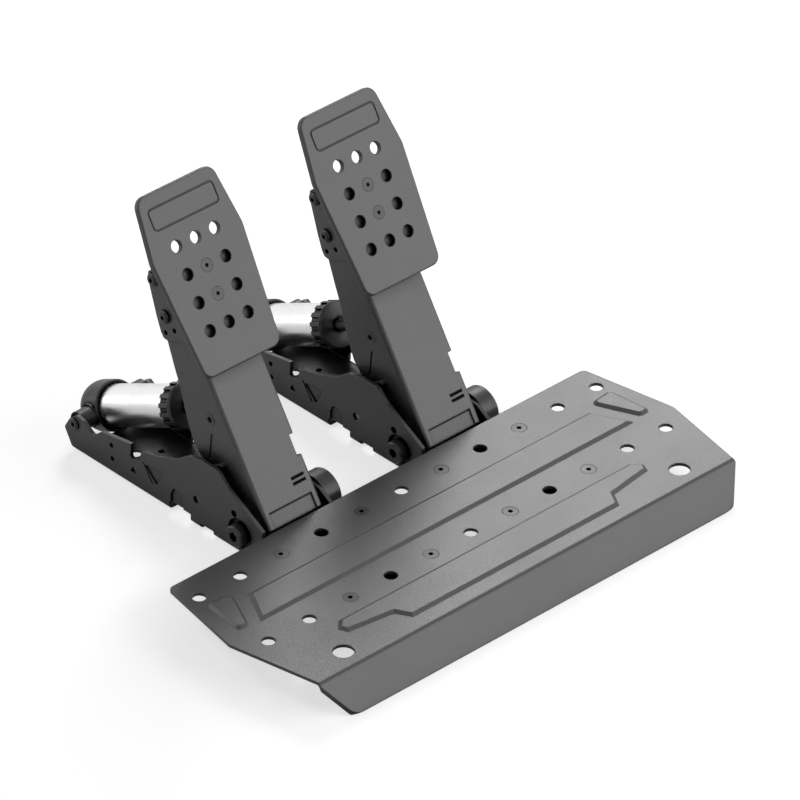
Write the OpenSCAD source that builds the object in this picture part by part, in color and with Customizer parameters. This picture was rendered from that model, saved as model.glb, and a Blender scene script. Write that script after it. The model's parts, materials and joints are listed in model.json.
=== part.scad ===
// Sim racing pedal set: a brake and a throttle pedal on a folded and embossed steel heel plate.
// X runs from the brake to the throttle, Y away from the driver and Z up.
// The modules work in a frame whose zero is the middle hole of the heel plate's front row, on the floor.

/* [Hole grid] */
// Distance between neighbouring holes of a row
hole_pitch = 32; // [30:0.5:34]
// Distance between the two rows of holes
row_gap = 59.6; // [50:0.1:64]
// Radius of the rig bolt holes
rig_hole_r = 4.25; // [3:0.05:4.5]
// Radius of the two large holes near the front
big_hole_r = 6.5; // [4:0.1:7]
// Distance of a large hole from the middle
big_hole_x = 135.3; // [130:0.1:140]
// Distance of the large holes in front of the front row
big_hole_y = 36.8; // [33:0.1:40]

/* [Heel plate] */
// Sheet thickness of the heel plate
heel_t = 2; // [1.5:0.1:2.5]
// Height of the heel plate's top face above the floor
heel_top = 21.6; // [20:0.1:23]
// Distance from the front row to the back edge
heel_back = 78.4; // [77:0.1:82]
// Distance from the outermost holes to the ends of the back edge
back_edge = 7.3; // [6.5:0.1:9]
// Distance from the outermost holes to the plate's greatest width
wide_edge = 18.9; // [16:0.1:22]
// Place of the greatest width behind the front row
heel_wide_y = 12.6; // [8:0.1:18]
// Distance from the front row to the front fold
fold_y = 51; // [50:0.5:56]
// Distance from the outermost holes to the ends of the fold
fold_edge = 6.8; // [4:0.1:8]
// Distance that the front lip runs forward on its way to the floor
lip_run = 15; // [10:0.5:20]
// Distance from the ends of the fold in to the lip's ends at the floor
lip_taper = 14.9; // [8:0.1:18]
// Height of the pressed bars and panels
emboss_h = 1.6; // [0.8:0.1:1.9]
// Width of the slope around a pressed form
emboss_slope = 2.2; // [1.5:0.1:2.5]

/* [Base bracket] */
// Distance from the outside of a cheek to the screws beside it
cheek_gap = 3.3; // [3.1:0.1:4]
// Sheet thickness of a base bracket
base_t = 2.5; // [2:0.1:2.5]
// Distance that a bracket reaches in front of the front row
base_front = 14; // [12:0.5:18]
// Height of the cheek's highest point
cheek_top = 49.6; // [46:0.2:52]
// Height of the low waist of the cheek's top edge
cheek_waist = 30.6; // [30:0.2:32]
// Distance from the screws to the edge of a screw flange
flange_edge = 8; // [6:0.5:9]
// Depth of the round dish around the pivot bolt
dish_depth = 2.4; // [1.5:0.1:2.6]
// Radius of the round dish around the pivot bolt
dish_r = 10.2; // [9.6:0.1:10.3]
// Radius of the dish's flat floor
dish_floor_r = 8.9; // [8.6:0.1:9]

/* [Pivot and arm] */
// Distance from the heel plate's back edge to the pivot
pivot_back = 20.6; // [20.2:0.1:24]
// Height of the pivot above the floor
pivot_z = 14.2; // [14:0.1:15]
// Radius of the pivot axle
axle_r = 5; // [4:0.1:5.5]
// Lean of the arm away from the driver, in degrees
lean = 32.25; // [30:0.25:34]
// Outer width of the arm
arm_w = 42.5; // [41:0.1:43]
// Sheet thickness of the arm
arm_t = 2; // [1.6:0.1:2.2]
// Distance from the pivot forward to the arm's front face
arm_front = 18.5; // [17.5:0.1:20]
// Greatest depth of the arm's flanges behind its front face
arm_depth = 39; // [36:0.1:40]
// Radius of the arm's rounded lower end
arm_end_r = 11; // [10:0.1:11.2]

/* [Pedal plate] */
// Height of the top hole row above the pivot, along the arm
top_row_h = 173.7; // [168:0.5:180]
// Thickness of the pedal plate
plate_t = 3.5; // [3:0.1:4]
// Distance from the pivot forward to the plate's front face
plate_front = 29.5; // [29.3:0.1:31]
// Half of the plate's greatest width
plate_half = 35.3; // [34:0.1:38]
// Half of the plate's top edge
plate_top_half = 29.6; // [28:0.1:32]
// Half of the plate's bottom edge
plate_low_half = 29.4; // [28:0.1:32]
// Distance of the plate's top edge above the top hole row
plate_up = 35; // [33:0.5:38]
// Distance of the plate's bottom edge below the top hole row
plate_down = 79; // [76:0.5:82]
// Distance between hole rows
plate_row = 17.8; // [17:0.1:18.5]
// Distance between hole columns
plate_col = 14.85; // [14:0.05:16]
// Radius of the plate's holes
plate_hole_r = 3.9; // [3:0.1:4.2]
// Sheet thickness of the bracket behind the plate
face_t = 2; // [1.6:0.1:2.2]

/* [Strut] */
// Distance from the pivot back to the rear pin
rear_pin_back = 147; // [145:0.5:149]
// Height of the rear pin above the pivot
rear_pin_up = 5.2; // [4.5:0.1:5.6]
// Radius of the rear pin
rear_pin_r = 2.5; // [2:0.1:2.8]
// Height of the link pin above the pivot, along the arm
link_h = 69.2; // [68:0.2:71]
// Distance of the link pin in front of the pivot, square to the arm
link_front = 4.1; // [3:0.1:5]
// Radius of the link pin
link_pin_r = 4; // [3.5:0.1:4.2]
// Radius of the bright tube
tube_r = 13.2; // [12.6:0.1:13.6]
// Wall of the bright tube
tube_wall = 2; // [1.5:0.1:2.2]
// Radius of the push rod
rod_r = 4; // [3.5:0.1:4.5]
// Rod length in the open on the brake, from the link pin to the nut
brake_rod_out = 47.9; // [44:0.1:50]
// Rod length in the open on the throttle, from the link pin to the nut
throttle_rod_out = 55.9; // [52:0.1:58]
// Radius of the preload nut
nut_r = 14.9; // [14.8:0.1:16]
// Length of the preload nut
nut_len = 10; // [9:0.5:11]
// Number of slots around the nut
nut_slots = 16; // [12:2:18]
// Radius of the rear cap
cap_r = 15.9; // [15:0.1:16.2]
// Length of the rear cap in front of the rear pin
cap_fore = 6.7; // [6.2:0.1:7.5]
// Distance of the rear cap's dome centre behind the rear pin
cap_aft = 4; // [3:0.1:4.2]
// Radius of the spring's wire
wire_r = 1.3; // [1:0.05:1.5]
// Number of turns of the spring
spring_turns = 9; // [7:1:10]

/* [Sensor] */
// Radius of the round sensor housing
sensor_r = 14; // [13:0.1:14.1]
// Height of the sensor housing with its lid
sensor_h = 12; // [11:0.1:14]
// Height of the lid
lid_h = 3.6; // [3:0.1:4]

/* [Fits] */
// Radial clearance of a turning or sliding fit
run_fit = 0.05; // [0.02:0.01:0.1]
// Radial clearance of a piece that is pressed or screwed in
seat_fit = 0.02; // [0:0.01:0.03]
// Radial clearance of a countersunk screw in its seat
head_fit = 0.04; // [0.02:0.01:0.06]
// Gap beside a turning piece
side_gap = 0.2; // [0.1:0.05:0.3]
// Radial play of the rod's eye on the link pin
link_play = 0.65; // [0.6:0.05:0.8]

/* [Hidden] */
$fn = 64;

steel_grey = [0.42, 0.42, 0.43];
dark_steel = [0.25, 0.25, 0.26];
bolt_black = [0.12, 0.12, 0.13];
tube_bright = [0.92, 0.93, 0.93];
bright_steel = [0.75, 0.76, 0.78];
bronze = [0.7, 0.55, 0.35];
board_green = [0.1, 0.35, 0.2];

// Places that follow from the sizes above
end_x = 5 * hole_pitch;
heel_back_half = end_x + back_edge;
heel_half = end_x + wide_edge;
fold_half = end_x + fold_edge;
lip_half = fold_half - lip_taper;
base_w = 2 * (hole_pitch - cheek_gap);
flange_reach = hole_pitch + flange_edge;
brake_x = -2 * hole_pitch;
throttle_x = 2 * hole_pitch;
pivot_y = heel_back + pivot_back;
rear_pin_y = pivot_y + rear_pin_back;
rear_pin_z = pivot_z + rear_pin_up;
link_y = pivot_y + link_h * sin(lean) - link_front * cos(lean);
link_z = pivot_z + link_h * cos(lean) + link_front * sin(lean);
strut_len = norm([rear_pin_y - link_y, link_z - rear_pin_z]);
strut_rise = atan2(link_z - rear_pin_z, rear_pin_y - link_y);
cheek_in = base_w / 2 - base_t;
arm_half = arm_w / 2;
arm_in = arm_half - arm_t;
heel_under = heel_top - heel_t;
flange_z = heel_under - base_t;
far = 1000;

// The middle of the whole set from front to back, which becomes the origin
rear_most = rear_pin_y + cap_aft * cos(strut_rise) + cap_r;
middle_y = (rear_most - fold_y - lip_run) / 2;

// One rounded corner of an outline as points on its arc
function corner(a, b, c, r, n) =
    let(u = (a - b) / norm(a - b), v = (c - b) / norm(c - b), half = acos(u * v) / 2)
    let(m = (u + v) / norm(u + v), o = b + m * r / sin(half), t = r / tan(half))
    let(p = b + u * t - o, q = b + v * t - o)
    let(start = atan2(p[1], p[0]), turn = (atan2(q[1], q[0]) - start + 540) % 360 - 180)
    [for (k = [0:n]) o + r * [cos(start + turn * k / n), sin(start + turn * k / n)]];

// An outline of [x, y, corner radius] entries as plain points, with arcs in the rounded corners
function rounded(points, n = 5) = [
    for (i = [0:len(points) - 1])
    let(count = len(points), b = points[i])
    let(a = points[(i + count - 1) % count], c = points[(i + 1) % count])
    each b[2] > 0
        ? corner([a[0], a[1]], [b[0], b[1]], [c[0], c[1]], b[2], n)
        : [[b[0], b[1]]]
];

// Outward direction of the edge that leaves point i of a counterclockwise outline
function edge_out(p, i) =
    let(d = p[(i + 1) % len(p)] - p[i])
    [d[1], -d[0]] / norm(d);

// A counterclockwise outline drawn in by t
function inset(p, t) = [
    for (i = [0:len(p) - 1])
    let(m = edge_out(p, (i + len(p) - 1) % len(p)), n = edge_out(p, i))
    p[i] - t * (m + n) / (1 + m * n)
];

// Mirror image of the right half of an outline, given from bottom to top
function both_halves(right) = concat(
    right,
    [for (i = [len(right) - 1:-1:0]) [-right[i][0], right[i][1], right[i][2]]]
);

// A solid that tapers from one outline to another with the same even number of points. Its ends are
// strips between opposite points, so that an outline with a dent stays filled only inside.
module tapered(low, high, z0, z1) {
    n = len(low);
    strips = [for (i = [0:n / 2 - 2]) [i, i + 1, n - 2 - i, n - 1 - i]];
    polyhedron(
        points = concat([for (p = low) [p[0], p[1], z0]], [for (p = high) [p[0], p[1], z1]]),
        faces = concat(
            strips,
            [for (q = strips) [n + q[3], n + q[2], n + q[1], n + q[0]]],
            [for (i = [0:n - 1]) [i, n + i, n + (i + 1) % n, (i + 1) % n]]
        )
    );
}

// Moves from the working frame to the middle of the set
module place(x) {
    translate([x, -middle_y, 0]) children();
}

// Turns into the arm's frame: zero at the pivot, Z up along the arm, Y square to it and backward
module on_arm() {
    translate([0, pivot_y, pivot_z]) rotate([-lean, 0, 0]) children();
}

// Turns into the strut's frame: zero at the rear pin, Z along the strut to the link pin
module on_strut() {
    translate([0, rear_pin_y, rear_pin_z]) rotate([90 - strut_rise, 0, 0]) children();
}

// An outline in Y and Z as a solid between two X values
module across(x0, x1, outline) {
    translate([x0, 0, 0]) rotate([90, 0, 90]) linear_extrude(x1 - x0) polygon(outline);
}

// A cylinder along X
module x_rod(x0, x1, r) {
    translate([x0, 0, 0]) rotate([0, 90, 0]) cylinder(r = r, h = x1 - x0);
}

// An outline in X and Z as a solid between two Y values
module facing(y0, y1, outline) {
    translate([0, y1, 0]) rotate([90, 0, 0]) linear_extrude(y1 - y0) polygon(outline);
}

// A button head bolt along X with its head outward at x = 0 and a hex socket
module button_head(r, h, socket_r, socket_h) {
    difference() {
        rotate([0, -90, 0]) rotate_extrude()
            polygon([[0, 0], [r, 0], [r, h * 0.45], [r * 0.82, h * 0.85], [r * 0.6, h], [0, h]]);
        translate([-h - 1, 0, 0]) rotate([0, 90, 0]) cylinder(r = socket_r, h = socket_h + 1, $fn = 6);
    }
}

// A tall round bolt head along X with its seat at x = 0, a small chamfer and a hex socket
module cap_head(r, h, socket_r, socket_h) {
    difference() {
        rotate([0, -90, 0]) rotate_extrude() polygon([[0, 0], [r, 0], [r, h - 0.9], [r - 0.9, h], [0, h]]);
        translate([-h - 1, 0, 0]) rotate([0, 90, 0]) cylinder(r = socket_r, h = socket_h + 1, $fn = 6);
    }
}

// A flat head screw that points down, with its head flush at z = 0
module flat_head(head_r, shank_r, length, socket_r) {
    head_h = head_r - shank_r;
    difference() {
        rotate_extrude() polygon([
            [0, 0], [head_r, 0], [head_r, -0.3], [shank_r, -head_h - 0.3], [shank_r, -length], [0, -length]
        ]);
        translate([0, 0, -head_h]) cylinder(r = socket_r, h = head_h + 1, $fn = 6);
    }
}

// Heel plate

screw_r = 2.5;
screw_head_r = 4.7;
screw_len = 9;
heel_corner_r = 4;
lip_corner_r = 12;
lip_slope = atan2(heel_top, lip_run);
lip_len = norm([heel_top, lip_run]);
fold_r = heel_t + 2;
fold_back = fold_r * tan(lip_slope / 2);
fold_steps = 8;

// Rounded corner of the lip in the lip's own plane, measured from the fold line
lip_corner = corner([0, -lip_len], [lip_half, -lip_len], [fold_half, -fold_back], lip_corner_r, 5);

// The plate from above, with the lip as it is seen from there
heel_outline = rounded(both_halves(concat(
    [for (p = lip_corner) [p[0], -fold_y + p[1] * cos(lip_slope), 0]],
    [[fold_half, -fold_y - fold_back * cos(lip_slope), 0],
    [fold_half, -fold_y + fold_back, 0],
    [heel_half, heel_wide_y, 6],
    [heel_back_half, heel_back, heel_corner_r]]
)));

// The sheet from the side: flat top, round bend and lip down to the floor
bend_turns = [for (k = [0:fold_steps]) 90 + lip_slope * k / fold_steps];
bend_centre = [-fold_y + fold_back, heel_top - fold_r];
heel_side = concat(
    [[heel_back + 1, heel_top]],
    [for (a = bend_turns) bend_centre + fold_r * [cos(a), sin(a)]],
    [[-fold_y - lip_run, 0], [-fold_y - lip_run + heel_t / sin(lip_slope), 0]],
    [for (k = [fold_steps:-1:0])
        bend_centre + (fold_r - heel_t) * [cos(bend_turns[k]), sin(bend_turns[k])]],
    [[heel_back + 1, heel_under]]
);

// Pressed forms: the long bar, the wedge at each end and the front panel
bar_low = end_x - 9.7;
bar_high = end_x - 22.7;
bar_outline = [[-bar_low, 17], [bar_low, 17], [bar_high, 42.2], [-bar_high, 42.2]];
wedge_r = 3.8;
wedge_corners = [[-2.5, 18.8], [6.3, 18.8], [3, 51], [-16.2, 49]];
function end_wedge(s) = s > 0
    ? rounded([for (p = wedge_corners) [end_x + p[0], p[1], wedge_r]])
    : rounded([for (i = [3:-1:0]) [-end_x - wedge_corners[i][0], wedge_corners[i][1], wedge_r]]);
panel_outline = both_halves([
    [83, -39.5, 0], [88.5, -29.5, 0], [120.5, -25, 0], [123, -19, 0], [117, -13, 0]
]);

module pressed(outline) {
    p = [for (q = outline) [q[0], q[1]]];
    tapered(p, inset(p, emboss_slope), heel_top - 0.01, heel_top + emboss_h);
}

module press_hollow(outline) {
    p = inset([for (q = outline) [q[0], q[1]]], emboss_slope / 2);
    tapered(p, inset(p, emboss_slope), heel_under - 0.01, heel_under + emboss_h);
}

module heel_sheet() {
    intersection() {
        across(-heel_half - 1, heel_half + 1, heel_side);
        translate([0, 0, -1]) linear_extrude(heel_top + 2) polygon(heel_outline);
    }
}

module heel_plate() {
    color(steel_grey)
    difference() {
        union() {
            heel_sheet();
            pressed(bar_outline);
            pressed(end_wedge(1));
            pressed(end_wedge(-1));
            pressed(panel_outline);
        }
        press_hollow(bar_outline);
        press_hollow(end_wedge(1));
        press_hollow(end_wedge(-1));
        press_hollow(panel_outline);
        for (y = [0, row_gap]) {
            for (i = [-5, -4, -2, 0, 2, 4, 5])
                translate([i * hole_pitch, y, heel_under - 1]) cylinder(r = rig_hole_r, h = heel_t + 2);
            for (i = [-3, -1, 1, 3])
                translate([i * hole_pitch, y, heel_top]) screw_seat();
        }
        for (s = [-1, 1])
            translate([s * big_hole_x, -big_hole_y, heel_under - 1])
                cylinder(r = big_hole_r, h = heel_t + 2);
    }
}

// Countersunk hole for a flat head screw, with its mouth at z = 0
module screw_seat() {
    rotate_extrude() polygon([
        [0, 1], [screw_head_r + head_fit, 1], [screw_head_r + head_fit, -0.3],
        [screw_r + head_fit, -0.3 - screw_head_r + screw_r], [screw_r + head_fit, -far / 20],
        [0, -far / 20]
    ]);
}

module heel_plate_screws() {
    color(bolt_black)
    for (i = [-3, -1, 1, 3], y = [0, row_gap])
        translate([i * hole_pitch, y, heel_top]) flat_head(screw_head_r, screw_r, screw_len, 1.6);
}

// Base bracket

cap_room = 1;
dome_y = rear_pin_y + cap_aft * cos(strut_rise);
dome_z = rear_pin_z - cap_aft * sin(strut_rise);
base_end = dome_y - sqrt(max(0, pow(cap_r + cap_room, 2) - pow(dome_z - base_t, 2)));
pin_y = rear_pin_y;
notch_depth = 12;

// Outline of the left cheek, counterclockwise in Y and Z, from the front end round the back
function cheek_outline(hump_front) = rounded(concat([
    [-base_front, 0, 0],
    [pin_y + 2, 0, 0],
    [pin_y + 9.4, 13, 2],
    [pin_y + 4.6, 21, 3],
    [pin_y - 1.5, 26.2, 3],
    [pin_y - 7.5, 24.5, 2],
    [pin_y - 16.5, 18.8, 2],
    [pin_y - 24, 25.4, 0],
    [pin_y - 50.8, 29.8, 0],
    [pin_y - 50, 19.6, 1.5],
    [pin_y - 58, 20.6, 1.5],
    [pin_y - 60, 28.6, 1],
    [pin_y - 63.5, cheek_waist, 3],
    [pin_y - 72, cheek_waist + 1.6, 4],
    [pin_y - 91, cheek_waist + 8.4, 5],
    [pin_y - 102, cheek_top - 2.6, 5],
    [pin_y - 115, cheek_top, 6]
], hump_front, [
    [heel_back + 1, flange_z, 0],
    [heel_back - 1, flange_z, 0],
    [-base_front, flange_z, 0]
]), 4);

left_hump_front = [
    [pivot_y + 19, cheek_top - 0.4, 4],
    [pivot_y + 11, cheek_top - 8, 3],
    [heel_back + 1, 24.6, 0]
];
right_hump_front = [
    [pivot_y + 22, cheek_top - 1, 4],
    [pivot_y + 13, 36, 4],
    [pivot_y + 7, 27.5, 8],
    [pivot_y - 8, 25.5, 8],
    [heel_back + 1, 18.5, 0]
];

// Bend of the channel: bottom and two cheeks with rounded outer corners
module channel_section(w, t, h, r) {
    difference() {
        union() {
            translate([-w / 2, r]) square([w, h - r]);
            translate([-w / 2 + r, 0]) square([w - 2 * r, r + 0.1]);
            for (s = [-1, 1]) translate([s * (w / 2 - r), r]) circle(r);
        }
        translate([-w / 2 + t, r]) square([w - 2 * t, h]);
        translate([-w / 2 + r, t]) square([w - 2 * r, h]);
        for (s = [-1, 1]) translate([s * (w / 2 - r), r]) circle(r - t);
    }
}

base_bend_r = 3;
base_long = rear_pin_y + 20 + base_front;

module base_channel() {
    intersection() {
        translate([0, base_long - base_front, 0]) rotate([90, 0, 0])
            linear_extrude(base_long) channel_section(base_w, base_t, far / 10, base_bend_r);
        union() {
            across(-far / 10, 0, cheek_outline(left_hump_front));
            across(0, far / 10, cheek_outline(right_hump_front));
        }
    }
}

// Screw flanges under the heel plate, bent outward from the cheeks
module base_flanges() {
    for (s = [-1, 1])
        translate([s > 0 ? cheek_in : -flange_reach, -base_front, flange_z])
            cube([flange_reach - cheek_in, base_front + row_gap + 12, base_t]);
}

// Pressed marks in a cheek: a triangle, a slanted crease and the arch over the large notch
arch_y = 154.5;
arch_depth = 1;
module cheek_marks() {
    x = base_w / 2;
    across(-x - 1, -x + 0.8, rounded([[172.6, 11.4, 1], [183.4, 21.6, 1], [165, 24, 2]]));
    across(-x - 1, -x + 1.2, [[175.2, 10.8], [176.6, 10.8], [185, 22.4], [183.6, 22.4]]);
    across(-x - 1, -x + 1.2, rounded([[190.5, 10.4, 0.5], [196, 10.4, 0.5], [193.5, 15, 0.5]]));
    across(-x - 1, -x + arch_depth, rounded([
        [arch_y - 5.6, 5, 0], [arch_y + 5.6, 5, 0], [arch_y + 5.6, 12, 0], [arch_y + 3, 17.4, 3],
        [arch_y - 3, 17.4, 3], [arch_y - 5.6, 12, 0]
    ]));
}

// Pressed dish: how much wider it is on its inner side, and its cone along X after a straight start
dish_gain = base_t * tan(atan2(dish_depth, dish_r - dish_floor_r) / 2);
module dish_cone(r1, r2, start) {
    rotate([0, 90, 0]) rotate_extrude() polygon([[0, 0], [r1, 0], [r1, start], [r2, start + dish_depth],
        [0, start + dish_depth]]);
}

// Notch at the foot of the right cheek, for the sensor's lead
lead_notch = rounded([
    [pin_y - 54, -1, 0], [pin_y - 42.1, -1, 0], [pin_y - 42.1, 6, 3], [pin_y - 47.5, 12.8, 3],
    [pin_y - 54, 12.8, 2]
]);

module base_bracket() {
    color(dark_steel)
    difference() {
        union() {
            base_channel();
            base_flanges();
            // Inner side of the dish
            translate([-cheek_in - 0.1, pivot_y, pivot_z])
                dish_cone(dish_r + dish_gain, dish_floor_r + dish_gain, 0.1);
        }
        // Dish around the pivot bolt
        translate([-base_w / 2 - 1, pivot_y, pivot_z]) dish_cone(dish_r, dish_floor_r, 1);
        // Bores for the bushes and the rear pin
        translate([0, pivot_y, pivot_z]) x_rod(-base_w, base_w, bush_r + seat_fit);
        translate([0, rear_pin_y, rear_pin_z]) x_rod(-base_w, base_w, rear_pin_r + seat_fit);
        // The bottom stops in front of the strut's rear cap
        translate([-cheek_in, base_end, -1]) cube([2 * cheek_in, far / 10, base_bend_r + 2]);
        // Notches along the bottom bends
        for (s = [-1, 1]) {
            cut_x = s > 0 ? base_w / 2 - notch_depth : -base_w / 2 - 1;
            translate([cut_x, 142.6, -1]) cube([notch_depth + 1, 19, 7]);
            translate([cut_x, 122.4, -1]) cube([notch_depth + 1, 11.6, 4.8]);
        }
        // Holes of the cheeks
        translate([0, pivot_y + 38, 18.9]) x_rod(-base_w, base_w, 2.8);
        translate([0, pivot_y + 5, 25.9]) x_rod(-base_w, 0, 2.4);
        translate([0, pin_y - 33.2, 20.2]) x_rod(-base_w, base_w, 1.7);
        translate([0, pin_y - 33.8, 11]) x_rod(-base_w, base_w, 1.7);
        across(cheek_in, base_w, lead_notch);
        // Holes of the bottom: a seat for a flat head screw from below, a small hole and two that line
        // up with the heel plate's
        translate([-7, 215.7, 0]) floor_seat();
        translate([5.8, 207.5, -1]) cylinder(r = 1.8, h = base_t + 2);
        for (y = [0, row_gap]) translate([0, y, -1]) cylinder(r = rig_hole_r, h = base_t + 2);
        // Tapped holes for the heel plate's screws, with the end of each head's cone
        for (s = [-1, 1], y = [0, row_gap])
            translate([s * hole_pitch, y, heel_top]) screw_seat();
        cheek_marks();
    }
}

// Hole with a wide cone from below
floor_hole_r = 3;
floor_cone_r = 5.3;
floor_cone_h = 2;
module floor_seat() {
    rotate_extrude() polygon([
        [0, -1], [floor_cone_r, -1], [floor_cone_r, 0], [floor_hole_r, floor_cone_h],
        [floor_hole_r, base_t + 1], [0, base_t + 1]
    ]);
}

// Pivot

bush_r = 6.5;
bush_flange_r = 9;
axle_head_r = 7;
axle_head_out = 5.5;
axle_socket_r = 3.4;
axle_socket_h = 4;
magnet_r = 3;
magnet_h = 2.5;
axle_tip = 3;

module pivot_bushes() {
    color(bronze)
    translate([0, pivot_y, pivot_z])
    difference() {
        union() {
            x_rod(-base_w / 2 + dish_depth, -cheek_in + dish_depth + 0.1, bush_r);
            x_rod(-cheek_in + dish_depth, -arm_half - side_gap, bush_flange_r);
            x_rod(arm_half + side_gap, cheek_in, bush_flange_r);
            x_rod(cheek_in - 0.1, base_w / 2, bush_r);
        }
        x_rod(-base_w, base_w, axle_r + run_fit);
    }
}

module pivot_axle() {
    head_x = -base_w / 2 + dish_depth - side_gap;
    color(bolt_black)
    translate([0, pivot_y, pivot_z])
    difference() {
        union() {
            x_rod(head_x - 0.1, base_w / 2 + axle_tip, axle_r);
            translate([head_x, 0, 0])
                cap_head(axle_head_r, dish_depth - side_gap + axle_head_out, axle_socket_r, axle_socket_h);
        }
        x_rod(base_w / 2 + axle_tip - magnet_h, base_w, magnet_r + seat_fit);
    }
}

module sensor_magnet() {
    color(bright_steel)
    translate([0, pivot_y, pivot_z])
        x_rod(base_w / 2 + axle_tip - magnet_h, base_w / 2 + axle_tip, magnet_r);
}

// Pedal arm, in the arm's frame: Y is square to the arm, Z runs up along it

arm_bend_r = 2.4;
arm_top = top_row_h - 9.8;
arm_low = -3.8;
arm_back = arm_depth - arm_front;
face_bolts = [[-7.2, top_row_h - 14.6], [-4.1, top_row_h - 37.9]];
face_bolt_r = 2.5;
notch_low = 28.7;
notch_high = 42.2;

// Side view of the arm, counterclockwise with Y first
arm_side = rounded(concat(
    [[-arm_front, arm_low, 0]],
    [for (a = [-120:10:0]) [arm_end_r * cos(a), arm_end_r * sin(a), 0]],
    [[12.2, 38, 3],
    [arm_back - 7, 41.8, 1],
    [arm_back - 1.4, 50, 5],
    [arm_back, 57, 7],
    [arm_back - 2, 70, 8],
    [12, 93.3, 4],
    [10, 104.4, 4],
    [6.4, top_row_h - 52.6, 3],
    [-1.5, arm_top - 1.5, 3],
    [-arm_front, arm_top, 0]]
), 4);

module arm_blank() {
    intersection() {
        // The channel's section, open toward the back
        translate([0, -arm_front, -far / 10])
            linear_extrude(far / 2) channel_section(arm_w, arm_t, arm_depth + 20, arm_bend_r);
        across(-far / 10, far / 10, arm_side);
    }
}

// Pressed recess and two slots at the foot of the arm's front face
foot_top = 6.2;
foot_depth = 1.1;
foot_slope = 1.2;
slot_low = 13.9;
slot_pitch = 3.4;
slot_h = 1.7;
slot_left = 6.8;
slot_right = 16.6;

module arm_foot_marks() {
    w = arm_half - 4.4;
    low = [[-w, -20], [w, -20], [w, foot_top - foot_slope], [-w, foot_top - foot_slope]];
    facing(-arm_front - 1, -arm_front + foot_depth, low);
    across(-w, w, [
        [-arm_front - 1, foot_top - foot_slope - 0.01],
        [-arm_front + foot_depth, foot_top - foot_slope - 0.01],
        [-arm_front, foot_top], [-arm_front - 1, foot_top]
    ]);
    for (i = [0, 1])
        translate([slot_left, -arm_front - 1, slot_low + i * slot_pitch])
            cube([slot_right - slot_left, arm_t + 2, slot_h]);
}

module pedal_arm() {
    color(steel_grey)
    on_arm()
    difference() {
        union() {
            arm_blank();
            // Small lip bent outward at the back of each flange
            for (s = [-1, 1])
                translate([s > 0 ? arm_half - 0.1 : -arm_half - 2.6, arm_back - 22.5, 40])
                    cube([2.7, 14, 1.8]);
        }
        x_rod(-base_w, base_w, axle_r + seat_fit);
        translate([0, -link_front, link_h]) x_rod(-base_w, base_w, link_pin_r + seat_fit);
        for (p = face_bolts)
            translate([0, p[0], p[1]]) x_rod(-base_w, base_w, face_bolt_r + seat_fit);
        // Relief in the right bend
        translate([arm_half - 4.2, -arm_front - 1, notch_low]) cube([6, 9, notch_high - notch_low]);
        arm_foot_marks();
        // Slanted crease pressed into the left flange
        translate([-arm_half - 0.6, 0, 0])
            across(0, 1.2, [[-1.5, 60.5], [0.5, 60.5], [12, 46], [10, 46]]);
    }
}

// Face bracket: a shallow channel over the arm's upper end that carries the pedal plate

face_fit = 0.05;
face_half = arm_half + face_fit + face_t;
face_front = -plate_front + plate_t;

face_side = rounded([
    [face_front, top_row_h - 59, 0],
    [-9.5, top_row_h - 54.5, 4],
    [3.2, top_row_h - 52.6, 3],
    [6.2, top_row_h - 50.4, 2.5],
    [6.4, top_row_h - 46.5, 3],
    [4.4, top_row_h - 36.5, 8],
    [-0.4, top_row_h - 18.5, 6],
    [-2, top_row_h - 12.4, 3],
    [-5.2, top_row_h - 9, 2.5],
    [-12, top_row_h - 8.6, 2],
    [face_front, top_row_h - 7, 0]
], 4);

module face_bracket() {
    color(steel_grey)
    on_arm()
    difference() {
        intersection() {
            translate([0, face_front, 0]) linear_extrude(far / 2)
                channel_section(2 * face_half, face_t, far / 10, face_t + 0.5);
            across(-far / 10, far / 10, face_side);
        }
        for (p = face_bolts)
            translate([0, p[0], p[1]]) x_rod(-base_w, base_w, face_bolt_r + seat_fit);
        for (y = [-7.2, 2])
            translate([0, y, top_row_h - 47.6]) x_rod(-base_w, base_w, 1.7);
        for (i = [1, 2])
            translate([0, face_front + face_t + 1, top_row_h - i * plate_row]) rotate([90, 0, 0])
                cylinder(r = plate_screw_r + seat_fit, h = face_t + 2);
    }
}

face_head_r = 4.2;
face_head_h = 2.6;
face_nut_h = 3;

// Four button head bolts with hex nuts inside the arm
module face_bracket_bolts() {
    color(bolt_black)
    on_arm()
    for (p = face_bolts, s = [-1, 1])
        translate([0, p[0], p[1]]) mirror([s > 0 ? 1 : 0, 0, 0]) {
            translate([-face_half, 0, 0]) button_head(face_head_r, face_head_h, 1.5, 1.4);
            x_rod(-face_half - 0.1, -arm_in + face_nut_h + 1, face_bolt_r);
            translate([-arm_in, 0, 0]) rotate([0, 90, 0]) cylinder(r = 4.4, h = face_nut_h, $fn = 6);
        }
}

// Pedal plate

plate_bevel = 0.8;
plate_screw_r = 2.2;
plate_screw_head_r = 4.1;
plate_wide_h = top_row_h - 4;

plate_outline = rounded(both_halves([
    [plate_low_half, top_row_h - plate_down, 6.5],
    [plate_half, plate_wide_h, 14],
    [plate_top_half, top_row_h + plate_up, 7.5]
]), 6);

// Engraved rounded frame above the holes
frame_half = 25.5;
frame_low = 12.5;
frame_high = 26.5;
frame_line = 0.9;
frame_depth = 0.5;
frame_outline = rounded(both_halves([
    [frame_half, top_row_h + frame_low, 3], [frame_half, top_row_h + frame_high, 3]
]), 4);

// Holes by row and column; the middle of rows 2 and 3 is a screw
plate_holes = [
    for (row = [0:3], col = [-1:1])
    if (!(col == 0 && (row == 1 || row == 2))) [col * plate_col, top_row_h - row * plate_row]
];

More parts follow.
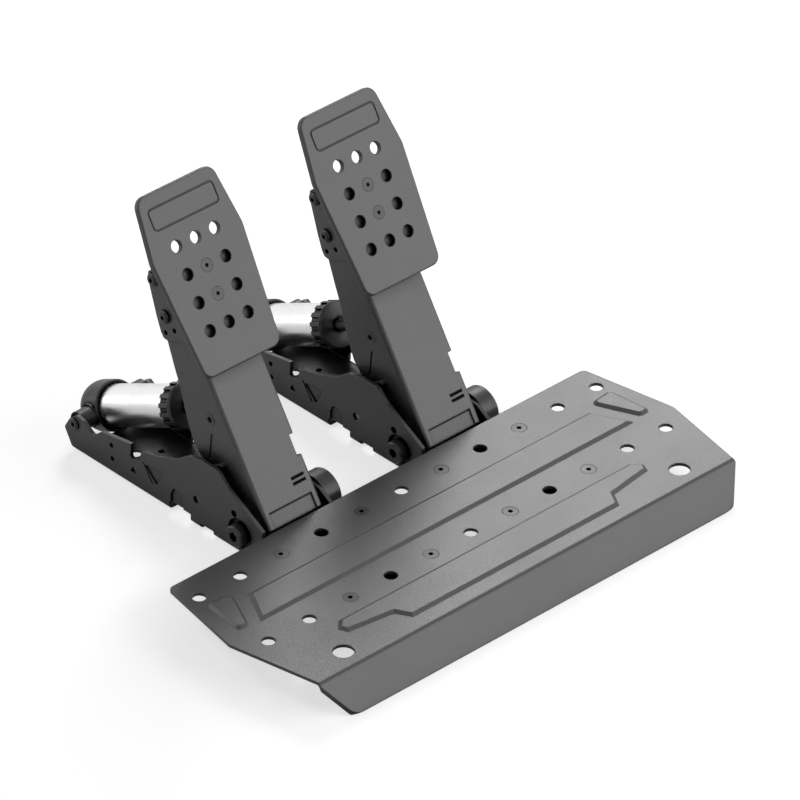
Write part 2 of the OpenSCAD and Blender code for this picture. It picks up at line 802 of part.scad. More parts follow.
module pedal_plate() {
    color(steel_grey)
    on_arm()
    difference() {
        union() {
            facing(-plate_front + plate_bevel, -plate_front + plate_t, plate_outline);
            translate([0, -plate_front + plate_bevel + 0.01, 0]) rotate([90, 0, 0])
                tapered(plate_outline, inset(plate_outline, plate_bevel), 0, plate_bevel + 0.01);
        }
        for (p = plate_holes)
            translate([p[0], -plate_front + plate_t + 1, p[1]]) rotate([90, 0, 0])
                cylinder(r = plate_hole_r, h = plate_t + 2);
        for (i = [1, 2])
            translate([0, -plate_front, top_row_h - i * plate_row]) rotate([90, 0, 0])
                rotate_extrude() polygon([
                    [0, 1], [plate_screw_head_r + seat_fit, 1], [plate_screw_head_r + seat_fit, -0.3],
                    [plate_screw_r + seat_fit, -0.3 - plate_screw_head_r + plate_screw_r],
                    [plate_screw_r + seat_fit, -plate_t - 1], [0, -plate_t - 1]
                ]);
        difference() {
            facing(-plate_front - 1, -plate_front + frame_depth, frame_outline);
            facing(-plate_front - 2, -plate_front + frame_depth + 1, inset(frame_outline, frame_line));
        }
    }
}

module pedal_plate_screws() {
    color(bolt_black)
    on_arm()
    for (i = [1, 2])
        translate([0, -plate_front, top_row_h - i * plate_row]) rotate([90, 0, 0])
            flat_head(plate_screw_head_r, plate_screw_r, plate_t + face_t + 1.5, 1.3);
}

// Strut

link_ring_r = 5;
link_ring_h = 1.2;
link_end = 2.4;
link_proud = 0.2;
link_socket_r = 2.2;
link_socket_h = 2.4;
eye_r = 8.6;
eye_half = 6;
eye_neck_r = 5.6;
eye_neck_h = 6;
spacer_r = 6.6;
nut_lip = 2.5;
nut_slot_len = 8.3;
nut_slot_depth = 1.1;
nut_slot_w = 3;
piston_h = 4;
spring_gap = 0.4;
cap_pocket = 2.2;
cap_edge = 0.8;
dome_steps = 12;
cap_boss_r = 7.5;
cap_boss_half = 16.5;
rear_spacer_r = 6.5;
tube_in = tube_r - tube_wall;
tube_start = cap_fore - cap_pocket;
rod_hole_r = rod_r + 0.4;

// Distances along the strut from the rear pin
function nut_front(rod_out) = strut_len - rod_out;
function nut_back(rod_out) = nut_front(rod_out) - nut_len;
function tube_end(rod_out) = nut_front(rod_out) - nut_lip - side_gap;
function piston_front(rod_out) = tube_end(rod_out) - 0.5;

// Pin with a hex socket in its left end and a clip on its right end
module link_pin() {
    color(bolt_black)
    on_arm()
    translate([0, -link_front, link_h])
    difference() {
        union() {
            x_rod(-arm_half - link_proud, arm_half + link_end, link_pin_r);
            x_rod(arm_half, arm_half + link_ring_h, link_ring_r);
        }
        translate([-arm_half - link_proud - 1, 0, 0]) rotate([0, 90, 0])
            cylinder(r = link_socket_r, h = link_socket_h + 1, $fn = 6);
    }
}

module link_spacers() {
    color(bright_steel)
    on_arm()
    translate([0, -link_front, link_h])
    for (s = [-1, 1]) mirror([s > 0 ? 1 : 0, 0, 0])
        difference() {
            x_rod(-arm_in, -eye_half - side_gap, spacer_r);
            x_rod(-base_w, 0, link_pin_r + seat_fit);
        }
}

module push_rod(rod_out) {
    color(bright_steel)
    on_strut()
    difference() {
        union() {
            translate([0, 0, piston_front(rod_out) - piston_h - 3])
                cylinder(r = rod_r, h = strut_len - piston_front(rod_out) + piston_h + 3);
            translate([0, 0, strut_len - eye_r - eye_neck_h])
                cylinder(r = eye_neck_r, h = eye_neck_h + eye_r / 2);
            translate([0, 0, strut_len]) x_rod(-eye_half, eye_half, eye_r);
        }
        translate([0, 0, strut_len]) x_rod(-base_w, base_w, link_pin_r + link_play);
    }
}

module piston(rod_out) {
    color(bolt_black)
    on_strut()
    translate([0, 0, piston_front(rod_out) - piston_h])
    difference() {
        cylinder(r = tube_in - 0.2, h = piston_h);
        translate([0, 0, -1]) cylinder(r = rod_r + seat_fit, h = piston_h + 2);
    }
}

// Coil of the spring as one unbroken tube of wire
coil_steps = 8;
wire_sides = 6;
spring_r = tube_in - wire_r - 0.9;

function spring_path(z0, z1, turns) = [
    for (k = [0:turns * coil_steps])
    let(a = 360 * k / coil_steps)
    [spring_r * cos(a), spring_r * sin(a), z0 + (z1 - z0) * k / (turns * coil_steps)]
];

// Least free distance between two places of the wire that are at least half a turn apart
function least_gap(path) =
    let(last = len(path) - 1)
    min([
        for (i = [0:last - coil_steps / 2])
        for (j = [i + coil_steps / 2:last])
        norm(path[i] - path[j])
    ]) - 2 * wire_r;

module wire_tube(path) {
    n = len(path);
    rings = [
        for (k = [0:n - 1])
        let(p = path[k], out = [p[0], p[1], 0] / norm([p[0], p[1]]))
        for (j = [0:wire_sides - 1])
        let(a = 360 * j / wire_sides)
        p + wire_r * (cos(a) * out + sin(a) * [0, 0, 1])
    ];
    polyhedron(
        points = rings,
        faces = concat(
            [[for (j = [0:wire_sides - 1]) j]],
            [[for (j = [wire_sides - 1:-1:0]) (n - 1) * wire_sides + j]],
            [
                for (k = [0:n - 2], j = [0:wire_sides - 1])
                let(a = k * wire_sides + j, b = k * wire_sides + (j + 1) % wire_sides)
                each [[a, a + wire_sides, b + wire_sides], [a, b + wire_sides, b]]
            ]
        )
    );
}

module strut_spring(rod_out) {
    z0 = tube_start + 3 + wire_r + spring_gap;
    z1 = piston_front(rod_out) - piston_h - wire_r - spring_gap;
    path = spring_path(z0, z1, spring_turns);
    echo(spring_least_gap = least_gap(path));
    color(bright_steel)
    on_strut() wire_tube(path);
}

module strut_tube(rod_out) {
    color(tube_bright)
    on_strut()
    difference() {
        translate([0, 0, tube_start]) cylinder(r = tube_r, h = tube_end(rod_out) - tube_start);
        translate([0, 0, tube_start + 3]) cylinder(r = tube_in, h = strut_len);
    }
}

module preload_nut(rod_out) {
    color(bolt_black)
    on_strut()
    difference() {
        translate([0, 0, nut_back(rod_out)]) rotate_extrude() polygon([
            [0, 0], [nut_r, 0], [nut_r, nut_len - 1.2], [nut_r - 1.2, nut_len], [0, nut_len]
        ]);
        translate([0, 0, nut_back(rod_out) - 1])
            cylinder(r = tube_r + run_fit, h = nut_len - nut_lip + 1);
        translate([0, 0, nut_back(rod_out)]) cylinder(r = rod_hole_r, h = nut_len + 1);
        for (i = [0:nut_slots - 1])
            rotate([0, 0, 360 * (i + 0.5) / nut_slots])
                translate([nut_r - nut_slot_depth, -nut_slot_w / 2, nut_back(rod_out) - 1])
                    cube([nut_slot_depth + 1, nut_slot_w, nut_slot_len + 1]);
    }
}

module rear_cap() {
    color(bolt_black)
    on_strut()
    difference() {
        union() {
            translate([0, 0, -cap_aft]) rotate_extrude() polygon(concat(
                [for (k = [0:dome_steps]) let(a = 90 * k / dome_steps) cap_r * [sin(a), -cos(a)]],
                [[cap_r, cap_aft + cap_fore - cap_edge], [cap_r - cap_edge, cap_aft + cap_fore],
                    [0, cap_aft + cap_fore]]
            ));
            translate([0, 0, cap_fore - cap_boss_r]) x_rod(-cap_boss_half, cap_boss_half, cap_boss_r);
        }
        translate([0, 0, tube_start]) cylinder(r = tube_r + seat_fit, h = cap_fore);
        x_rod(-base_w, base_w, rear_pin_r + run_fit);
    }
}

rear_head_r = 3.8;
rear_head_h = 1.6;
rear_nut_r = 4.6;
rear_nut_h = 3.5;

module rear_pin() {
    color(bolt_black)
    translate([0, rear_pin_y, rear_pin_z]) {
        x_rod(-base_w / 2 - 0.1, base_w / 2 + rear_nut_h + 1, rear_pin_r);
        translate([-base_w / 2, 0, 0]) button_head(rear_head_r, rear_head_h, 1.5, 1);
        translate([base_w / 2, 0, 0]) rotate([0, 90, 0])
            cylinder(r = rear_nut_r, h = rear_nut_h, $fn = 6);
    }
}

module rear_spacers() {
    color(bolt_black)
    translate([0, rear_pin_y, rear_pin_z])
    for (s = [-1, 1]) mirror([s > 0 ? 1 : 0, 0, 0])
        difference() {
            x_rod(-cheek_in, -cap_boss_half - side_gap, rear_spacer_r);
            x_rod(-base_w, 0, rear_pin_r + seat_fit);
        }
}

// Sensor

sensor_wall = 1.8;
sensor_floor = 1.4;
board_r = 10.5;
board_h = 1.6;
sensor_x = base_w / 2;
cup_h = sensor_h - lid_h;
ledge = 5;

module on_sensor() {
    translate([sensor_x, pivot_y, pivot_z]) rotate([0, 90, 0]) children();
}

screw_ring_r = sensor_r - sensor_wall - 1.2;

module sensor_housing() {
    color(bolt_black)
    on_sensor()
    difference() {
        union() {
            difference() {
                cylinder(r = sensor_r, h = cup_h);
                translate([0, 0, sensor_floor]) cylinder(r = sensor_r - sensor_wall, h = cup_h);
            }
            // Ledge that carries the board
            difference() {
                cylinder(r = sensor_r - sensor_wall + 0.1, h = ledge);
                translate([0, 0, sensor_floor]) cylinder(r = board_r - 1.5, h = cup_h);
            }
            for (i = [0:2]) rotate([0, 0, 120 * i + 60]) translate([screw_ring_r, 0, 0])
                cylinder(r = 1.9, h = cup_h);
        }
        translate([0, 0, -1]) cylinder(r = bush_r + 0.5, h = sensor_floor + 2);
        for (i = [0:2]) rotate([0, 0, 120 * i + 60]) translate([screw_ring_r, 0, cup_h - 5])
            cylinder(r = 0.8 + seat_fit, h = 6);
        // Way in for the lead
        translate([0, 0, cup_h - 2]) rotate([0, 90, 90])
            cylinder(r = 1.5 + seat_fit, h = sensor_r + 1);
    }
}

module sensor_board() {
    color(board_green)
    on_sensor()
    difference() {
        translate([0, 0, ledge]) cylinder(r = board_r - 0.3, h = board_h);
        for (i = [0:2]) rotate([0, 0, 120 * i + 60]) translate([screw_ring_r, 0, 0])
            cylinder(r = 2.2, h = cup_h);
    }
}

module sensor_cover() {
    color(bolt_black)
    on_sensor()
    difference() {
        translate([0, 0, cup_h]) rotate_extrude() polygon([
            [0, 0], [sensor_r, 0], [sensor_r, lid_h - 1.5], [sensor_r - 0.5, lid_h - 0.5],
            [sensor_r - 1.5, lid_h], [0, lid_h]
        ]);
        for (i = [0:2]) rotate([0, 0, 120 * i + 60]) translate([screw_ring_r, 0, cup_h - 1]) {
            cylinder(r = 0.8 + seat_fit, h = lid_h + 2);
            translate([0, 0, lid_h - 0.4]) cylinder(r = 1.7, h = 3);
        }
    }
}

module sensor_screws() {
    color(bright_steel)
    on_sensor()
    for (i = [0:2]) rotate([0, 0, 120 * i + 60]) translate([screw_ring_r, 0, 0]) {
        translate([0, 0, cup_h - 4]) cylinder(r = 0.8, h = 4 + lid_h - 1);
        translate([0, 0, cup_h + lid_h - 1.4]) cylinder(r = 1.6, h = 1.2);
    }
}

// Strain relief stub of the sensor's lead, on the far side of the housing
gland_len = 9;

module cable_gland() {
    color(bolt_black)
    on_sensor()
    translate([0, 0, cup_h - 2]) rotate([0, 90, 90])
    difference() {
        union() {
            translate([0, 0, sensor_r - sensor_wall]) cylinder(r = 1.5, h = sensor_wall + 1);
            translate([0, 0, sensor_r]) cylinder(r1 = 2.6, r2 = 2, h = gland_len);
        }
        translate([0, 0, sensor_r - 3]) cylinder(r = 1, h = gland_len + 4);
    }
}

// The nodes, each drawn at its place

place(0) heel_plate();
place(0) heel_plate_screws();

place(brake_x) base_bracket();  // brake_base_bracket
place(brake_x) pivot_axle();  // brake_pivot_axle
place(brake_x) pivot_bushes();  // brake_pivot_bushes
place(brake_x) pedal_arm();  // brake_pedal_arm
place(brake_x) face_bracket();  // brake_face_bracket
place(brake_x) face_bracket_bolts();  // brake_face_bracket_bolts
place(brake_x) pedal_plate();  // brake_pedal_plate
place(brake_x) pedal_plate_screws();  // brake_pedal_plate_screws
place(brake_x) link_pin();  // brake_link_pin
place(brake_x) link_spacers();  // brake_link_spacers
place(brake_x) push_rod(brake_rod_out);  // brake_push_rod
place(brake_x) piston(brake_rod_out);  // brake_piston
place(brake_x) strut_spring(brake_rod_out);  // brake_strut_spring
place(brake_x) strut_tube(brake_rod_out);  // brake_strut_tube
place(brake_x) preload_nut(brake_rod_out);  // brake_preload_nut
place(brake_x) rear_cap();  // brake_rear_cap
place(brake_x) rear_pin();  // brake_rear_pin
place(brake_x) rear_spacers();  // brake_rear_spacers
place(brake_x) sensor_housing();  // brake_sensor_housing
place(brake_x) sensor_cover();  // brake_sensor_cover
place(brake_x) sensor_board();  // brake_sensor_board
place(brake_x) sensor_magnet();  // brake_sensor_magnet
place(brake_x) sensor_screws();  // brake_sensor_screws
place(brake_x) cable_gland();  // brake_cable_gland

place(throttle_x) base_bracket();  // throttle_base_bracket
place(throttle_x) pivot_axle();  // throttle_pivot_axle
place(throttle_x) pivot_bushes();  // throttle_pivot_bushes
place(throttle_x) pedal_arm();  // throttle_pedal_arm
place(throttle_x) face_bracket();  // throttle_face_bracket
place(throttle_x) face_bracket_bolts();  // throttle_face_bracket_bolts
place(throttle_x) pedal_plate();  // throttle_pedal_plate
place(throttle_x) pedal_plate_screws();  // throttle_pedal_plate_screws
place(throttle_x) link_pin();  // throttle_link_pin
place(throttle_x) link_spacers();  // throttle_link_spacers
place(throttle_x) push_rod(throttle_rod_out);  // throttle_push_rod
place(throttle_x) piston(throttle_rod_out);  // throttle_piston
place(throttle_x) strut_spring(throttle_rod_out);  // throttle_strut_spring
place(throttle_x) strut_tube(throttle_rod_out);  // throttle_strut_tube
place(throttle_x) preload_nut(throttle_rod_out);  // throttle_preload_nut
place(throttle_x) rear_cap();  // throttle_rear_cap
place(throttle_x) rear_pin();  // throttle_rear_pin
place(throttle_x) rear_spacers();  // throttle_rear_spacers
place(throttle_x) sensor_housing();  // throttle_sensor_housing
place(throttle_x) sensor_cover();  // throttle_sensor_cover
place(throttle_x) sensor_board();  // throttle_sensor_board
place(throttle_x) sensor_magnet();  // throttle_sensor_magnet
place(throttle_x) sensor_screws();  // throttle_sensor_screws
place(throttle_x) cable_gland();  // throttle_cable_gland
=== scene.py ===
import json
import math

import bpy
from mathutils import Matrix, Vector


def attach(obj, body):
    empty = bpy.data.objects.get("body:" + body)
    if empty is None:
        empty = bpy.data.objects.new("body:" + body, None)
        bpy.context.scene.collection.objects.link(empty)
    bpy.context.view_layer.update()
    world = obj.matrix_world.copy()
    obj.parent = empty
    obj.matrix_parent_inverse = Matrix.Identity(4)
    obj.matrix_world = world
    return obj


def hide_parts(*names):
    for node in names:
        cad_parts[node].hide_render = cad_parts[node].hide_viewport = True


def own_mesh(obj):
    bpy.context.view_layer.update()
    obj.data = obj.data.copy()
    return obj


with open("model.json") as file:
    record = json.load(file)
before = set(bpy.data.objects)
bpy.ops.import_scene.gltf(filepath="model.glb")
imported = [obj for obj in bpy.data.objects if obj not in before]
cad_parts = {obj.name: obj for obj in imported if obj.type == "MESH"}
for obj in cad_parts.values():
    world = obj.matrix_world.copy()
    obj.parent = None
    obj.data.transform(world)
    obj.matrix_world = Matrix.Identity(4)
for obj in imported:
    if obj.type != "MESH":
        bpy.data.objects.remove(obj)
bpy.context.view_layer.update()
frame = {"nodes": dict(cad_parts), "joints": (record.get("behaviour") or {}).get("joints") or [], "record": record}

nodes = frame["nodes"]
joints = {joint["name"]: joint for joint in frame["joints"]}
slots = {part["node"]: part["material_slot"] for part in frame["record"]["subparts"]}

WHITE = (1.0, 1.0, 1.0, 1.0)


def new_object(name, data):
    """An object with that data, linked to the scene."""
    made = bpy.data.objects.new(name, data)
    bpy.context.scene.collection.objects.link(made)
    return made


# Shader nodes

def add(tree, kind, inputs=None, **settings):
    """A new node with its settings and its input values or links."""
    node = tree.nodes.new(kind)
    for key, value in settings.items():
        setattr(node, key, value)
    for key, value in (inputs or {}).items():
        if isinstance(value, bpy.types.NodeSocket):
            tree.links.new(value, node.inputs[key])
        else:
            node.inputs[key].default_value = value
    return node


def new_material(name):
    """A material with its node tree, its surface shader and the place in the object's own space."""
    material = bpy.data.materials.new(name)
    material.use_nodes = True
    tree = material.node_tree
    shader = tree.nodes["Principled BSDF"]
    place = add(tree, "ShaderNodeTexCoord").outputs["Object"]
    return material, tree, shader, place


def times(tree, a, b):
    return add(tree, "ShaderNodeMath", {0: a, 1: b}, operation="MULTIPLY").outputs[0]


def plus(tree, a, b, clamp=False):
    return add(tree, "ShaderNodeMath", {0: a, 1: b}, operation="ADD", use_clamp=clamp).outputs[0]


def remap(tree, value, low, high, to_low, to_high):
    return add(tree, "ShaderNodeMapRange", {
        "Value": value, "From Min": low, "From Max": high, "To Min": to_low, "To Max": to_high,
    }).outputs["Result"]


def noise(tree, place, scale, detail, roughness):
    return add(tree, "ShaderNodeTexNoise", {
        "Vector": place, "Scale": scale, "Detail": detail, "Roughness": roughness,
    }).outputs["Fac"]


def spread(tree, value, share, middle=1.0):
    """Noise turned into a factor that lies within that share above or below the middle."""
    mostly_from, mostly_to = 0.3, 0.7
    return remap(tree, value, mostly_from, mostly_to, middle * (1.0 - share), middle * (1.0 + share))


def scaled_colour(tree, colour, factor):
    """A colour multiplied by a grey factor."""
    grey = add(tree, "ShaderNodeCombineColor", {"Red": factor, "Green": factor, "Blue": factor})
    mix = add(tree, "ShaderNodeMix", data_type="RGBA", blend_type="MULTIPLY")
    mix.inputs["Factor"].default_value = 1.0
    mix.inputs["A"].default_value = (*colour, 1.0)
    tree.links.new(grey.outputs[0], mix.inputs["B"])
    return mix.outputs["Result"]


def soft_edges(tree, radius):
    """The normal rounded by radius at sharp edges, and a mask near 1 there and 0 on flat faces."""
    on_edge, on_face = 0.86, 0.995
    rounded = add(tree, "ShaderNodeBevel", {"Radius": radius}, samples=6).outputs["Normal"]
    sharp = add(tree, "ShaderNodeNewGeometry").outputs["Normal"]
    both = add(tree, "ShaderNodeVectorMath", {0: rounded, 1: sharp}, operation="DOT_PRODUCT")
    return rounded, remap(tree, both.outputs["Value"], on_face, on_edge, 0.0, 1.0)


# Painted highlight: a factor that brightens the colour along sharp edges, as if they catch the light.
def painted_edge_highlight(tree, mask, gain):
    return remap(tree, mask, 0.0, 1.0, 1.0, 1.0 + gain)


def hollow_shade(tree, distance, darkest, closed=0.35, clear=0.85, own=False):
    """A factor of 1 on open faces that falls to darkest in hollows of about that distance.
    With own set, only the piece's own faces count."""
    openness = add(tree, "ShaderNodeAmbientOcclusion", {"Distance": distance}, samples=8, only_local=own)
    return remap(tree, openness.outputs["AO"], closed, clear, darkest, 1.0)


def set_relief(tree, shader, height, strength, depth, normal):
    relief = add(tree, "ShaderNodeBump", {
        "Strength": strength, "Distance": depth, "Height": height, "Normal": normal,
    })
    tree.links.new(relief.outputs[0], shader.inputs["Normal"])


# Materials

def powder_coat(name, colour, roughness, channel=0.0):
    """Fine textured paint on steel sheet, with grain, soft blotches, a painted highlight along edges and painted
    shade in hollows, which also dims the shine there.
    With a channel distance, the inside of a folded channel gets darker painted shade still."""
    grain_scale = 1700.0
    grain_share = 0.16
    pit_scale = 935.0
    pit_height = 0.6
    blotch_scale = 22.0
    blotch_share = 0.045
    highlight_gain = 0.35
    edge_radius = 0.0009
    specular = 0.62

    material, tree, shader, place = new_material(name)
    normal, mask = soft_edges(tree, edge_radius)
    grain = noise(tree, place, grain_scale, detail=2.0, roughness=0.6)
    blotches = noise(tree, place, blotch_scale, detail=4.0, roughness=0.55)
    pits = add(tree, "ShaderNodeTexVoronoi", {"Vector": place, "Scale": pit_scale}, feature="F1")

    # Painted shade in hollows and, with a channel, inside the folded channel; it darkens both colour and shine.
    shade = hollow_shade(tree, distance=0.03, darkest=0.3)
    if channel:
        inner = hollow_shade(tree, channel, darkest=0.15, closed=0.6, clear=0.97, own=True)
        shade = times(tree, shade, inner)
    tone = times(tree, spread(tree, grain, grain_share), spread(tree, blotches, blotch_share))
    # Painted highlight along sharp edges.
    tone = times(tree, tone, painted_edge_highlight(tree, mask, highlight_gain))
    rough = times(tree, spread(tree, blotches, share=0.06, middle=roughness),
                  spread(tree, grain, share=0.1))

    tree.links.new(scaled_colour(tree, colour, times(tree, tone, shade)), shader.inputs["Base Color"])
    tree.links.new(times(tree, shade, specular), shader.inputs["Specular IOR Level"])
    tree.links.new(rough, shader.inputs["Roughness"])
    height = plus(tree, grain, times(tree, pits.outputs["Distance"], pit_height))
    set_relief(tree, shader, height, strength=0.28, depth=0.0003, normal=normal)
    return material


def smooth_finish(name, colour, roughness, metallic=0.0, coat=0.0, grain_scale=600.0, grain_share=0.06,
                  grain_relief=0.04, radius=0.0004, highlight_gain=0.25, hollow=0.0):
    """Machined, moulded or drawn surfaces with faint marks, softened edges with a painted highlight, and maybe a
    clear coat.
    With a hollow distance, hollows of that size and narrow gaps get painted shade: darker colour and less shine."""
    cloud_scale = 40.0
    coat_roughness = 0.12
    narrow_gap = 0.0025
    specular = 0.38

    material, tree, shader, place = new_material(name)
    normal, mask = soft_edges(tree, radius)
    grain = noise(tree, place, grain_scale, detail=3.0, roughness=0.6)
    clouds = noise(tree, place, cloud_scale, detail=3.0, roughness=0.5)

    # Painted highlight along sharp edges.
    tone = times(tree, spread(tree, grain, grain_share), painted_edge_highlight(tree, mask, highlight_gain))
    rough = times(tree, spread(tree, clouds, share=0.15, middle=roughness),
                  spread(tree, grain, share=0.08))
    shader.inputs["Metallic"].default_value = metallic
    if coat:
        shader.inputs["Coat Weight"].default_value = coat
        shader.inputs["Coat Roughness"].default_value = coat_roughness
    # Painted shade in hollows and narrow gaps, on colour, shine and coat.
    if hollow:
        shade = times(tree, hollow_shade(tree, hollow, darkest=0.15, closed=0.45, clear=0.9),
                      hollow_shade(tree, narrow_gap, darkest=0.05, closed=0.7, clear=0.98))
        tone = times(tree, tone, shade)
        tree.links.new(times(tree, shade, specular), shader.inputs["Specular IOR Level"])
        if coat:
            tree.links.new(times(tree, shade, coat), shader.inputs["Coat Weight"])

    tree.links.new(scaled_colour(tree, colour, tone), shader.inputs["Base Color"])
    tree.links.new(rough, shader.inputs["Roughness"])
    set_relief(tree, shader, grain, strength=grain_relief, depth=0.0001, normal=normal)
    return material


MATERIALS = {
    "grey_steel": powder_coat("grey_powder", (0.058, 0.058, 0.0593), 0.36),
    # Same powder coat as grey_powder, given a darker colour as painted shade, and painted shade inside the folded
    # channel.
    "dark_steel": powder_coat("shaded_grey_powder", (0.04, 0.04, 0.0415), 0.38, channel=0.06),
    # Painted shade in hollows and narrow gaps around the screws.
    "black_bolt": smooth_finish("black_oxide", (0.042, 0.042, 0.044), 0.34, hollow=0.004),
    "grey_bolt": smooth_finish("grey_bolt_satin", (0.07, 0.07, 0.072), 0.38),
    "bronze": smooth_finish("sintered_bronze", (0.5, 0.34, 0.18), 0.45, metallic=1.0,
                            grain_scale=1400.0, grain_relief=0.2),
    "bright_steel": smooth_finish("polished_steel", (0.75, 0.76, 0.77), 0.16, metallic=1.0),
    "spring_steel": smooth_finish("drawn_spring_steel", (0.42, 0.42, 0.44), 0.32, metallic=1.0),
    "bright_tube": smooth_finish("polished_tube", (0.92, 0.93, 0.92), 0.31, metallic=1.0,
                                 grain_scale=250.0, grain_share=0.01, grain_relief=0.0, radius=0.0002),
    # Strong painted highlight on the edges and the nut's teeth, and painted shade in the slots and gaps.
    "black_aluminium": smooth_finish("black_anodised", (0.026, 0.026, 0.028), 0.36, coat=0.15,
                                     highlight_gain=2.5, hollow=0.01),
    "black_plastic": smooth_finish("black_moulded", (0.022, 0.022, 0.024), 0.42,
                                   grain_scale=2200.0, grain_relief=0.15),
    "board": smooth_finish("solder_mask", (0.03, 0.16, 0.07), 0.3, coat=0.3),
}

for name, node in nodes.items():
    material = MATERIALS[slots[name]]
    if node.data.materials:
        for i in range(len(node.data.materials)):
            node.data.materials[i] = material
    else:
        node.data.materials.append(material)


# Springs inside the tubes, as round wire carried by each strut

WIRE_R = 0.0013
WIRE_SIDES = 10
COIL_R = 0.009
TURNS = 9
STEPS_IN_A_TURN = 28
END_CLOSING = 0.35

# Wire centres of the first turn, at the rear cap, and of the last, at each pedal's piston,
# measured from the rear pin along the strut
FIRST_TURN = 0.0092
LAST_TURN = {"brake": 0.069585, "throttle": 0.061585}


def coil(name, rear_pin, forward, start, end):
    """Round wire wound around the strut's axis, whose turns lie closer together at both ends."""
    sideways = Vector((1.0, 0.0, 0.0))
    upwards = sideways.cross(forward)
    steps = TURNS * STEPS_IN_A_TURN
    verts, faces = [], []
    for k in range(steps + 1):
        t = k / steps
        risen = t - END_CLOSING * math.sin(2 * math.pi * t) / (2 * math.pi)
        along = start + (end - start) * risen
        angle = 2 * math.pi * TURNS * t
        outwards = sideways * math.cos(angle) + upwards * math.sin(angle)
        for j in range(WIRE_SIDES):
            around = 2 * math.pi * j / WIRE_SIDES
            verts.append(rear_pin + forward * (along + WIRE_R * math.sin(around))
                         + outwards * (COIL_R + WIRE_R * math.cos(around)))
    for k in range(steps):
        for j in range(WIRE_SIDES):
            a = k * WIRE_SIDES + j
            b = k * WIRE_SIDES + (j + 1) % WIRE_SIDES
            faces.append((a, b, b + WIRE_SIDES, a + WIRE_SIDES))
    faces.append(tuple(reversed(range(WIRE_SIDES))))
    faces.append(tuple(range(steps * WIRE_SIDES, (steps + 1) * WIRE_SIDES)))
    mesh = bpy.data.meshes.new(name)
    mesh.from_pydata(verts, [], faces)
    mesh.polygons.foreach_set("use_smooth", [True] * len(mesh.polygons))
    mesh.materials.append(MATERIALS["spring_steel"])
    return new_object(name, mesh)


for pedal in ("brake", "throttle"):
    rear_pin = Vector(joints[f"{pedal}_strut_swing"]["pos_m"])
    forward = -Vector(joints[f"{pedal}_rod_slide"]["axis"]).normalized()
    piece = coil(f"{pedal}_coil", rear_pin, forward, FIRST_TURN, LAST_TURN[pedal])
    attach(piece, f"{pedal}_strut")
    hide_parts(f"{pedal}_strut_spring")
    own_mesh(piece)


# Floor and world

FLOOR_REACH = 9.0
FLOOR_Z = -0.0004


def ray_masks(tree):
    """A mask of the rays that show a thing straight or through a clear piece, and one of glossy rays."""
    path = add(tree, "ShaderNodeLightPath")
    seen = plus(tree, path.outputs["Is Camera Ray"], path.outputs["Is Transmission Ray"], clamp=True)
    return seen, path.outputs["Is Glossy Ray"]


def pale_floor():
    """A pale surface that keeps shadows near the object and is plain white far from it.
    It glows when seen, less in reflections, and doesn't light the object otherwise."""
    pale = 0.86
    near, far = 0.45, 1.3
    near_glow = 0.66
    glossy_glow = 0.25

    material, tree, shader, place = new_material("pale_floor")
    shader.inputs["Base Color"].default_value = (pale, pale, pale, 1.0)
    shader.inputs["Roughness"].default_value = 1.0
    shader.inputs["Specular IOR Level"].default_value = 0.0
    seen, glossy = ray_masks(tree)
    distance = add(tree, "ShaderNodeVectorMath", {0: place}, operation="LENGTH").outputs["Value"]
    seen_glow = times(tree, seen, remap(tree, distance, near, far, near_glow, 1.0))
    strength = plus(tree, seen_glow, times(tree, glossy, glossy_glow))
    glow = add(tree, "ShaderNodeEmission", {"Color": WHITE, "Strength": strength})
    both = add(tree, "ShaderNodeAddShader", {0: shader.outputs[0], 1: glow.outputs[0]})
    tree.links.new(both.outputs[0], tree.nodes["Material Output"].inputs["Surface"])
    return material


floor_mesh = bpy.data.meshes.new("floor")
corners = [(x * FLOOR_REACH, y * FLOOR_REACH, FLOOR_Z) for x, y in ((-1, -1), (1, -1), (1, 1), (-1, 1))]
floor_mesh.from_pydata(corners, [], [(0, 1, 2, 3)])
floor_mesh.materials.append(pale_floor())
floor = new_object("floor", floor_mesh)


def background(tree, strength):
    return add(tree, "ShaderNodeBackground", {"Color": WHITE, "Strength": strength}).outputs[0]


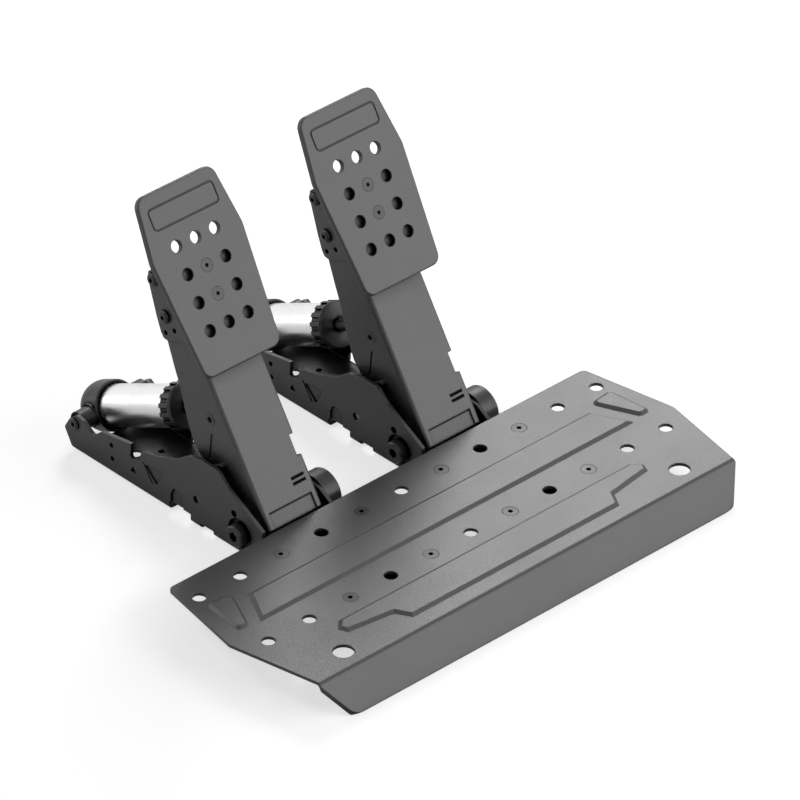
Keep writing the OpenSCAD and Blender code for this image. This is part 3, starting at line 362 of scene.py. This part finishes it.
def studio_world():
    """A world that is white when seen, slightly dimmer in reflections, and gives little light."""
    as_light = 0.06
    in_reflections = 0.94
    when_seen = 1.0

    world = bpy.data.worlds.new("studio")
    world.use_nodes = True
    tree = world.node_tree
    tree.nodes.clear()
    seen, glossy = ray_masks(tree)
    unseen = add(tree, "ShaderNodeMixShader", {
        0: glossy, 1: background(tree, as_light), 2: background(tree, in_reflections),
    })
    surface = add(tree, "ShaderNodeMixShader", {
        0: seen, 1: unseen.outputs[0], 2: background(tree, when_seen),
    })
    add(tree, "ShaderNodeOutputWorld", {"Surface": surface.outputs[0]})
    return world


bpy.context.scene.world = studio_world()


# Lights and camera

LIGHT_TARGET = Vector((0.0, 0.0, 0.08))


def aim(thing, direction):
    """Turns a light or a camera so that it looks in that direction."""
    thing.rotation_mode = "QUATERNION"
    thing.rotation_quaternion = direction.to_track_quat("-Z", "Y")


def softbox(name, place, size, power):
    light = bpy.data.lights.new(name, "AREA")
    light.shape = "RECTANGLE"
    light.size, light.size_y = size
    light.energy = power
    lamp = new_object(name, light)
    lamp.location = place
    aim(lamp, LIGHT_TARGET - Vector(place))


softbox("back_right", (1.35, 1.15, 1.25), (0.8, 0.8), 14.5)
softbox("front_right", (1.25, -1.7, 0.85), (2.4, 1.7), 29.0)
softbox("back_left", (-0.9, 1.5, 1.75), (0.5, 0.5), 5.5)
softbox("low_back", (-1.5, 1.9, 0.55), (1.6, 0.9), 7.5)

# The photograph's viewing angle, and its place in the frame
AZIMUTH = math.radians(-42.992)
ELEVATION = math.radians(33.972)
DISTANCE = 4.9861
TARGET = Vector((0.025403, -0.011792, 0.06))

camera_data = bpy.data.cameras.new("camera")
camera_data.sensor_width = 36.0
camera_data.lens = 379.8
camera_data.clip_start = 0.5
camera_data.clip_end = 50.0
camera = new_object("camera", camera_data)
towards_camera = Vector((
    math.sin(AZIMUTH) * math.cos(ELEVATION),
    -math.cos(AZIMUTH) * math.cos(ELEVATION),
    math.sin(ELEVATION),
))
camera.location = TARGET + towards_camera * DISTANCE
aim(camera, -towards_camera)
bpy.context.scene.camera = camera
bpy.context.scene.view_settings.view_transform = "Standard"
